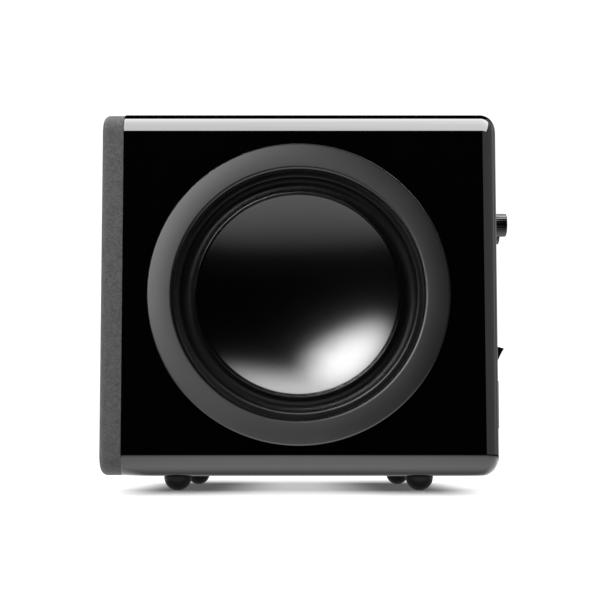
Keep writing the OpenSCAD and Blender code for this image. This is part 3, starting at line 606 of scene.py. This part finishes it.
def grille_cover():
    """Cloth stretched over the grille board's front and edges, sinking a little over the opening."""
    width, height = GRILLE_HI.y - GRILLE_LO.y, GRILLE_HI.z - GRILLE_LO.z
    depth = GRILLE_HI.x - GRILLE_LO.x
    corner = EDGE_R - (CAB_HI.y - GRILLE_HI.y)
    corner_steps, inward_steps = 12, 30
    opening_r, dip, pole_dip, thick = 74, 0.45, 0.003, 0.7
    straight = 0.65 * depth

    rim = [(0, straight * k / 4) for k in range(4)]
    rim += [(GRILLE_FRONT_R * (1 - math.cos(a)), depth - GRILLE_FRONT_R * (1 - math.sin(a)))
            for a in quarter(8)]
    sections = []
    for inset, h in rim:
        outline = rounded_rect(width - 2 * inset, height - 2 * inset, corner - inset, corner_steps)
        sections.append([(x, y, h) for x, y in outline])
    last = sections[-1]
    for k in range(1, inward_steps):
        share = 1 - k / inward_steps
        ring = []
        for x, y, h in last:
            out = math.hypot(x * share, y * share) / opening_r
            sink = dip * (1 - out * out) ** 1.5 if out < 1 else 0
            ring.append((x * share, y * share, h - sink))
        sections.append(ring)
    bm = bmesh.new()
    layer = bm.loops.layers.uv.new("cloth")
    rings = [[bm.verts.new(p) for p in ring] for ring in sections]
    pole = bm.verts.new((0, 0, sections[-1][0][2] - pole_dip))
    spans = [0.0]
    for one, two in zip(sections[:len(rim)], sections[1:len(rim)]):
        spans.append(spans[-1] + (Vector(one[0]) - Vector(two[0])).length)
    directions = [math.radians(90 * side) + a for side in range(4) for a in quarter(corner_steps)]

    def cloth_place(ring_index, k):
        """Where a point lies on the cloth before it is wrapped round the edges."""
        x, y, _ = sections[ring_index][k]
        out = spans[-1] - spans[ring_index] if ring_index < len(spans) else 0
        return (x + out * math.cos(directions[k])) * MM, (y + out * math.sin(directions[k])) * MM

    count = len(last)
    for i, (one, two) in enumerate(zip(rings, rings[1:])):
        for k in range(count):
            j = (k + 1) % count
            face = bm.faces.new((one[k], one[j], two[j], two[k]))
            for loop, (ri, ki) in zip(face.loops, ((i, k), (i, j), (i + 1, j), (i + 1, k))):
                loop[layer].uv = cloth_place(ri, ki)
    for k in range(count):
        face = bm.faces.new((rings[-1][k], rings[-1][(k + 1) % count], pole))
        for loop in face.loops:
            loop[layer].uv = (loop.vert.co.x * MM, loop.vert.co.y * MM)
    back = Vector((GRILLE_HI.x, 0, (GRILLE_LO.z + GRILLE_HI.z) / 2))
    cover = finish_mesh("grille_cloth_cover", bm, place(back, OUTWARD["front"]))
    shell = cover.modifiers.new("thickness", "SOLIDIFY")
    shell.thickness = thick * MM
    shell.offset = -1
    apply_modifiers(cover)
    cover.data.shade_smooth()
    cover.data.set_sharp_from_angle(angle=math.radians(50))
    dress(cover, "grille_cloth", "grille", ("grille_cloth",))


grille_cover()


# ------------------------------------------------------------------ drivers


def dish_h(r, offset=0.0):
    """Height of the dish's front surface, or of a surface behind it, at a radius."""
    return DISH_C - math.sqrt((DISH_R + offset) ** 2 - r * r)


def cone(name, side, body, stands_for):
    """Dish with a rolled rim; the front of it is a part of a sphere."""
    rim = CONE_R - 0.9
    front = [(rim * k / 40, dish_h(rim * k / 40)) for k in range(41)]
    edge = soften([(rim, dish_h(rim)), (rim + 0.25, CONE_EDGE_H), (CONE_R, CONE_EDGE_H),
                   (CONE_R, dish_h(CONE_R, CONE_T))], [0, 0.2, 0.3, 0], 4)
    back = [(CONE_R * k / 20, dish_h(CONE_R * k / 20, CONE_T)) for k in range(19, -1, -1)]
    c, n = driver_centre(side), OUTWARD[side]
    piece = lathe(name, front + edge[1:] + back, place(c, n), 192, closed=False)
    dress(piece, "cone_metal", body, stands_for, turned_dish(f"cone_metal_{side}", c, n))


def surround(name, side, body, stands_for):
    """Inverted half roll; its inner edge follows the cone and its outer lip stays on the frame."""
    roll_from, roll_turn, lip_h = 184, 174, 0.5
    inner, outer = CONE_R + 0.5, ROLL_MID_R + ROLL_R
    glued = [CONE_R - 2.9 + 0.8 * k for k in range(4)]
    path = [(r, dish_h(r, CONE_T + RUBBER_T / 2)) for r in glued] + [(CONE_R + 0.25, -1.0)]
    for k in range(25):
        a = math.radians(roll_from + roll_turn * k / 24)
        path.append((ROLL_MID_R + ROLL_R * math.cos(a), ROLL_R * math.sin(a)))
    path += [(outer + 0.35, 0.42), (outer + 1, lip_h), (LIP_OUT_R - 0.4, lip_h), (LIP_OUT_R, 0.45)]
    c, n = driver_centre(side), OUTWARD[side]
    piece = lathe(name, ribbon(path, RUBBER_T), place(c, n), 192, sharp=60.0)
    paint(piece, LOOKS["surround_rubber"])
    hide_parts(*stands_for)
    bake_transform(piece, "cabinet", body, start=(c + UP * outer) * MM, end=(c + UP * inner) * MM)
    follow = piece.data.attributes["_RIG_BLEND"].data
    for v, w in zip(piece.data.vertices, follow):
        away = v.co / MM - c
        r = (away - n * away.dot(n)).length
        t = min(max((outer - r) / (outer - inner), 0), 1)
        w.value = t * t * (3 - 2 * t)


def trim(side):
    """Satin ring with a small rounding outside and a wide one inside."""
    section = [(TRIM_IN_R, 0), (TRIM_R, 0), (TRIM_R, TRIM_T), (TRIM_IN_R, TRIM_T)]
    outline = soften(section, [0, 0.1, 0.9, 2.3], 8)
    piece = lathe(f"{side}_trim_ring_satin", outline, place(driver_centre(side), OUTWARD[side]), 256)
    dress(piece, "trim_grey", "cabinet", (f"{side}_trim_ring",))


for side in SIDES:
    cone(f"{side}_cone_dish", side, f"{side}_radiator", (f"{side}_radiator_cone",))
    surround(f"{side}_surround_roll", side, f"{side}_radiator", (f"{side}_radiator_surround",))
    trim(side)
cone("front_cone_dish", "front", "driver_cone", ("front_cone",))
surround("front_surround_roll", "front", "driver_cone", ("front_surround",))


# ------------------------------------------------------------------ rear


def knob(kind):
    """Fluted knob with a white pointer."""
    node, body = f"{kind}_knob", f"{kind}_control"
    low, high = corner_pair(node)
    c = Vector((low.x, (low.y + high.y) / 2, (low.z + high.z) / 2))
    r, h = (high.y - low.y) / 2, high.x - low.x
    flutes, depth, skirt_h, bore_r = 30, 0.28, 1.5, 3.1
    face_h, face_r, cap_t = h - 0.35, r - 1.9, 2

    def grip(angle, radius, height):
        fluted = radius > r - 1.3 and skirt_h + 0.1 < height < h - 0.9
        return radius - depth * (0.5 - 0.5 * math.cos(flutes * angle)) if fluted else radius

    outside = [(bore_r, 0), (r, 0), (r, skirt_h), (r - 0.15, skirt_h + 0.2), (r - 0.4, h), (face_r + 0.3, h)]
    inside = [(face_r, face_h), (0.01, face_h), (0.01, h - cap_t), (bore_r, h - cap_t)]
    outline = soften(outside + inside, [0, 0.3, 0.15, 0.1, 0.6, 0.15, 0.15, 0, 0, 0], 4)
    piece = lathe(f"{kind}_knob_cap", outline, place(c, OUT_X), 240, wobble=grip)
    dress(piece, "knob_plastic", body, (node,))
    pointer, pointer_z = (0.9, 4.2, 0.3), 3.2
    on_face = c + Vector((face_h - 0.03, 0, pointer_z))
    dress_mark(eased_block(f"{kind}_knob_pointer", pointer, on_face, 0.1, 0.3), body)


def rocker():
    """Rocker with a hollow face that rises to both ends; a stroke marks its on end and a ring its off end."""
    low, high = corner_pair("rocker_housing")
    half, width, back, tilt = 8.6, 9.6, -3, 16
    face_low, face_rise, face_power = 3.8, 1.6, 1.6
    outline = [(back, -half), (back, half)]
    for k in range(25):
        t = 1 - 2 * k / 24
        outline.append((face_low + face_rise * abs(t) ** face_power, half * t))
    outline = soften(outline, [0.3, 0.3, 0.5] + [0] * 23 + [0.5], 4)
    bm = bmesh.new()
    sides = [[bm.verts.new((x, y, z)) for x, z in outline] for y in (-width / 2, width / 2)]
    count = len(outline)
    for k in range(count):
        j = (k + 1) % count
        bm.faces.new((sides[0][k], sides[0][j], sides[1][j], sides[1][k]))
    for side in sides:
        bm.faces.new(side)
    pivot = Vector((REAR_X, (low.y + high.y) / 2, (low.z + high.z) / 2)) * MM
    tilted = Matrix.Translation(pivot) @ Matrix.Rotation(math.radians(tilt), 4, "Y")
    piece = finish_mesh("power_rocker_cap", bm, tilted @ Matrix.Scale(MM, 4))
    ease_edges(piece, 0.35, 3, 50)
    apply_modifiers(piece)
    steady_normals(piece, 40)
    dress(piece, "knob_plastic", "power_switch", ("power_rocker",))

    mark_z, mark_t, mark_rise, sunk = 4.6, 0.12, 1.4, 0.02
    stroke = eased_block("power_mark_on", (0.5, 2.6, mark_t), (0, 0, 0), 0.05, 0.2)
    section = soften([(1.0, 0), (1.4, 0), (1.4, mark_t), (1.0, mark_t)], 0.03, 2)
    ring = lathe("power_mark_off", section, place((0, 0, 0), OUT_X), 48)
    for mark, z in ((stroke, mark_z), (ring, -mark_z)):
        share = abs(z / half)
        lift = face_low + mark_rise * share ** face_power - sunk
        lean = math.atan(mark_rise * face_power * share ** (face_power - 1) / half)
        spot = Matrix.Translation(Vector((lift, 0, z)) * MM)
        mark.data.transform(tilted @ spot @ Matrix.Rotation(math.copysign(lean, z), 4, "Y"))
        dress_mark(mark, "power_switch")


def plate_print():
    """Printed dial ticks, strokes beside the levers and rules between the groups: no lettering."""
    bm = bmesh.new()
    ink_t, fine, bold = 0.06, 0.4, 0.45

    def stroke(y0, z0, y1, z1, width):
        start, stop = Vector((y0, z0)), Vector((y1, z1))
        side = (stop - start).orthogonal().normalized() * width / 2
        corners = (start + side, stop + side, stop - side, start - side)
        low = [bm.verts.new((0, *p)) for p in corners]
        high = [bm.verts.new((ink_t, *p)) for p in corners]
        bm.faces.new(low)
        bm.faces.new(high[::-1])
        for k in range(4):
            bm.faces.new((low[k], low[(k + 1) % 4], high[(k + 1) % 4], high[k]))

    tick_in, tick_out, long_tick_out = 9.2, 11.2, 12.4
    for kind in ("volume", "crossover"):
        c = middle(f"{kind}_knob")
        for k in range(11):
            a = math.radians(240 - 30 * k)
            out = tick_out if k % 5 else long_tick_out
            stroke(c.y + tick_in * math.cos(a), c.z + tick_in * math.sin(a),
                   c.y + out * math.cos(a), c.z + out * math.sin(a), bold)
    half_travel, slot_half, rule_up = 1.5, 6.2, 5.2
    for node in ("phase_lever", "mode_lever"):
        c = middle(node)
        y = c.y + half_travel
        for end in (y - slot_half, y + slot_half):
            stroke(end, c.z - 1.2, end, c.z + 1.2, bold)
        stroke(y - slot_half, c.z + rule_up, y + slot_half, c.z + rule_up, 0.35)
    margin = 5
    low, high = corner_pair("phono_shells")
    left, right, under = low.y - margin, high.y + margin, low.z - margin
    stroke(left, under, right, under, fine)
    for y in (left, right):
        stroke(y, under, y, under + 2.5, fine)
    low, high = corner_pair("amp_plate")
    upper, lower = high.z - 12, low.z + 26
    stroke(low.y + 10, upper, high.y - 10, upper, fine)
    stroke(high.y - 60, lower, high.y - 12, lower, fine)
    piece = finish_mesh("plate_print", bm, Matrix.Translation((REAR_X * MM, 0, 0)) @ Matrix.Scale(MM, 4))
    dress_mark(piece, "cabinet")


for kind in ("volume", "crossover"):
    knob(kind)
rocker()
plate_print()

for name in ("mains_inlet", "rocker_housing", "phase_lever", "mode_lever", "mains_pins"):
    weld = NODES[name].modifiers.new("join", "WELD")
    weld.merge_threshold = 0.01 * MM
    ease_edges(NODES[name], 0.2, 2, 60)
    steady_normals(NODES[name], 60)


# ------------------------------------------------------------------ floor, light and camera


def look_at(obj, target_m):
    """Turns a lamp or a card to face a place."""
    obj.rotation_mode = "QUATERNION"
    obj.rotation_quaternion = (Vector(target_m) - obj.location).to_track_quat("-Z", "Y")


class Glow(Look):
    """A shadeless emitter; a clear one adds its light to what lies behind it."""

    def __init__(self, name, strength, clear=False):
        self.mat = bpy.data.materials.new(name)
        self.mat.use_nodes = True
        self.tree = self.mat.node_tree
        self.tree.nodes.clear()
        out = self.tree.nodes.new("ShaderNodeOutputMaterial")
        self.shader = self.tree.nodes.new("ShaderNodeEmission")
        surface = self.shader
        if clear:
            surface = self.node("ShaderNodeAddShader", {0: self.shader.outputs[0],
                                                        1: self.node("ShaderNodeBsdfTransparent").outputs[0]})
        self.tree.links.new(surface.outputs[0], out.inputs["Surface"])
        self.coord = self.tree.nodes.new("ShaderNodeTexCoord").outputs["Object"]
        self.set("Strength", strength)


def see_through(obj, camera=True, diffuse=True, glossy=True, shadow=True):
    """Sets which rays meet a piece of the set."""
    obj.visible_camera, obj.visible_diffuse, obj.visible_glossy = camera, diffuse, glossy
    obj.visible_shadow, obj.visible_transmission = shadow, diffuse


def card(name, centre_m, facing_m, size_m, strength, soft, roll=0.0, disc=False):
    """A card that only shows in reflections; soft is the share of it that fades, and roll is in degrees."""
    bm = bmesh.new()
    w, h = size_m[0] / 2, size_m[1] / 2
    bm.faces.new([bm.verts.new(p) for p in ((-w, -h, 0), (w, -h, 0), (w, h, 0), (-w, h, 0))])
    obj = finish_mesh(name, bm, Matrix.Identity(4))
    obj.location = centre_m
    look_at(obj, facing_m)
    obj.rotation_quaternion = obj.rotation_quaternion @ Quaternion((0, 0, 1), math.radians(roll))
    look = Glow(name, strength, clear=True)
    across, up, _ = look.axes()
    across = look.math("DIVIDE", look.math("ABSOLUTE", across), w)
    up = look.math("DIVIDE", look.math("ABSOLUTE", up), h)
    if disc:
        light = look.span(look.hypot(across, up), 1.0, 0.0, 1 - soft, 1.0, True)
    else:
        light = look.product(*[look.span(v, 1.0, 0.0, 1 - soft, 1.0, True) for v in (across, up)])
    look.join(look.math("MULTIPLY", light, strength), "Strength")
    obj.data.materials.append(look.mat)
    see_through(obj, camera=False, diffuse=False, shadow=False)
    return obj


def area(name, centre_m, target_m, size_m, power):
    """A soft box that lights the piece and doesn't show in reflections."""
    lamp = bpy.data.lights.new(name, "AREA")
    lamp.shape = "RECTANGLE"
    lamp.size, lamp.size_y = size_m
    lamp.energy = power
    obj = bpy.data.objects.new(name, lamp)
    bpy.context.scene.collection.objects.link(obj)
    obj.location = centre_m
    look_at(obj, target_m)
    obj.visible_glossy = False


def aim(azimuth, elevation, distance_m, centre_m):
    """A place seen from the centre; azimuth 0 is the photographer's side and 90 the grille's side."""
    a, e = math.radians(azimuth), math.radians(elevation)
    way = Vector((-math.sin(a) * math.cos(e), -math.cos(a) * math.cos(e), math.sin(e)))
    return centre_m + distance_m * way


def only_for(lights, objects, leave_out=False):
    """Cards that show in some pieces only, or in all but those."""
    group = bpy.data.collections.new("reflects_" + lights[0].name)
    for obj in objects:
        group.objects.link(obj)
    if leave_out:
        for entry in group.collection_objects:
            entry.light_linking.link_state = "EXCLUDE"
    for obj in lights:
        obj.light_linking.receiver_collection = group


# The shaders of the table and of its reflection measure in metres.


def disc(name, radius, z_m, steps, material):
    """A level round sheet at height z_m."""
    obj = lathe(name, [(0, 0), (radius, 0)], Matrix.Scale(MM, 4), steps, closed=False)
    obj.location.z = z_m
    obj.data.materials.append(material)
    return obj


def table():
    """White glowing table with a painted soft shadow: its glow fades under the cabinet and most of all round
    the feet.
    """
    glow, deepest = 1.1, 0.53
    look = Look("table", (0.04, 0.04, 0.04), 0.7)
    look.tint(look.noise(0.05, 4.0), 0.98, 1.02)
    look.set("Emission Color", (1, 1, 1, 1))
    x, y, _ = look.axes()
    # Painted shadow: the glow drops to its lowest near the feet and fades out beside, before and behind the
    # cabinet.
    feet_x = [middle(f"foot_{end}_right").x * MM for end in ("front", "rear")]
    to_feet = [look.math("ABSOLUTE", look.math("SUBTRACT", x, foot_x)) for foot_x in feet_x]
    nearest = look.math("MINIMUM", *to_feet)
    past_feet = look.math("MULTIPLY", look.math("SUBTRACT", look.math("ABSOLUTE", y), 0.07), 0.3)
    away = look.node("ShaderNodeCombineXYZ", {0: nearest, 1: look.math("MAXIMUM", past_feet)})
    painted_shadow_glow = look.span(look.length(away.outputs[0]), 0.1, deepest, 0.014, 0.062, True)
    off_centre = look.math("ABSOLUTE", look.math("SUBTRACT", x, sum(feet_x) / 2))
    beside = look.span(off_centre, 1.0, 0.0, 0.07, 0.112, True)
    before = look.span(y, 0.0, 1.0, -0.26, -0.1, True)
    behind = look.span(y, 1.0, 0.0, 0.06, 0.32, True)
    shade = look.product(beside, before, behind, look.math("SUBTRACT", glow, painted_shadow_glow))
    look.join(look.math("SUBTRACT", glow, shade), "Emission Strength")
    see_through(disc("floor", 7000, -0.00005, 96, look.mat), glossy=False)


def table_reflection():
    """What the pieces mirror of the table: bright close by, dark far away, with a painted shadow under the
    box.
    """
    near, far, shadow_under_box = 3.0, 0.02, 0.15
    look = Glow("table_reflection", near)
    x, y, _ = look.axes()
    # Painted shadow: the mirrored glow is dimmed by a soft-edged mask beneath the cabinet's footprint.
    past_edge = look.math("MAXIMUM", look.math("SUBTRACT", look.math("ABSOLUTE", x), 0.105),
                          look.math("SUBTRACT", look.math("ABSOLUTE", y), 0.1))
    light = look.product(look.span(past_edge, shadow_under_box, 1.0, -0.014, 0.004, True),
                         look.span(look.length(), near, far, 0.1, 0.38, True))
    look.join(light, "Strength")
    mirrored = disc("floor_reflection", 900, -0.0002, 64, look.mat)
    see_through(mirrored, camera=False, diffuse=False, shadow=False)


def domes():
    """A white backdrop that only the camera sees, and a dimmer one that only lights."""
    for name, radius, sunk, strength in (("backdrop", 9000, 400, 1.1), ("fill_dome", 8500, 400, 0.4)):
        arc = [(radius * math.cos(a), radius * math.sin(a) - sunk) for a in quarter(18)]
        dome = lathe(name, arc, Matrix.Scale(MM, 4), 64, closed=False)
        dome.data.materials.append(Glow(name, strength).mat)
        see_through(dome, camera=name == "backdrop", diffuse=name == "fill_dome", glossy=False, shadow=False)
    world = bpy.data.worlds.new("studio")
    world.use_nodes = True
    world.node_tree.nodes["Background"].inputs["Color"].default_value = (0.003, 0.003, 0.003, 1)
    bpy.context.scene.world = world


def lamps():
    """Soft boxes over the camera's left shoulder and overhead, and the cards that the pieces mirror."""
    middle_m, dish_m, edge_m = Vector((0, 0, 0.11)), driver_centre("right") * MM, Vector((0, -0.1, 0.2))
    area("key", aim(52, 46, 1.4, middle_m), middle_m, (1.0, 1.0), 4.5)
    area("overhead", aim(10, 80, 1.4, middle_m), middle_m, (1.3, 1.3), 4.5)
    skin = bpy.data.objects["cabinet_lacquer"]
    rings = [bpy.data.objects[f"{side}_trim_ring_satin"] for side in SIDES]
    key = card("key_reflection", aim(48, 47, 1.5, dish_m), dish_m, (2.1, 1.5), 30.0, 0.85, 38.0, disc=True)
    over = card("overhead_reflection", aim(0, 88, 1.4, middle_m), middle_m, (3.0, 2.0), 15.0, 0.7, disc=True)
    only_for([key, over], [skin, *rings], leave_out=True)
    strip = card("strip_reflection", aim(0, 59, 1.3, edge_m), edge_m, (3.0, 2.2), 13.5, 0.05)
    right = card("right_reflection", aim(-62, 30, 1.4, middle_m), middle_m, (3.0, 2.6), 0.85, 0.05)
    far_right = card("far_right_reflection", aim(-135, 10, 1.4, middle_m), middle_m, (3.2, 1.6), 0.5, 0.4)
    only_for([strip, right, far_right], [skin])
    left = card("left_reflection", aim(26, 21, 1.4, middle_m), middle_m, (1.5, 1.4), 9.0, 0.7)
    only_for([left], rings)


def photo_camera():
    """Close to the table and square to the side; part tilt and part shift raise the object in the frame."""
    tilt = 4.21
    camera = bpy.data.cameras.new("camera")
    camera.lens = 77.17
    camera.sensor_width = 36
    camera.shift_x, camera.shift_y = 0.0077, 0.1
    camera.clip_start = 0.01
    obj = bpy.data.objects.new("camera", camera)
    bpy.context.scene.collection.objects.link(obj)
    obj.location = (-0.0088, -0.8006, 0.0197)
    obj.rotation_euler = (math.radians(90 + tilt), 0, 0)
    bpy.context.scene.camera = obj
    bpy.context.scene.view_settings.view_transform = "Standard"


table()
table_reflection()
domes()
lamps()
photo_camera()
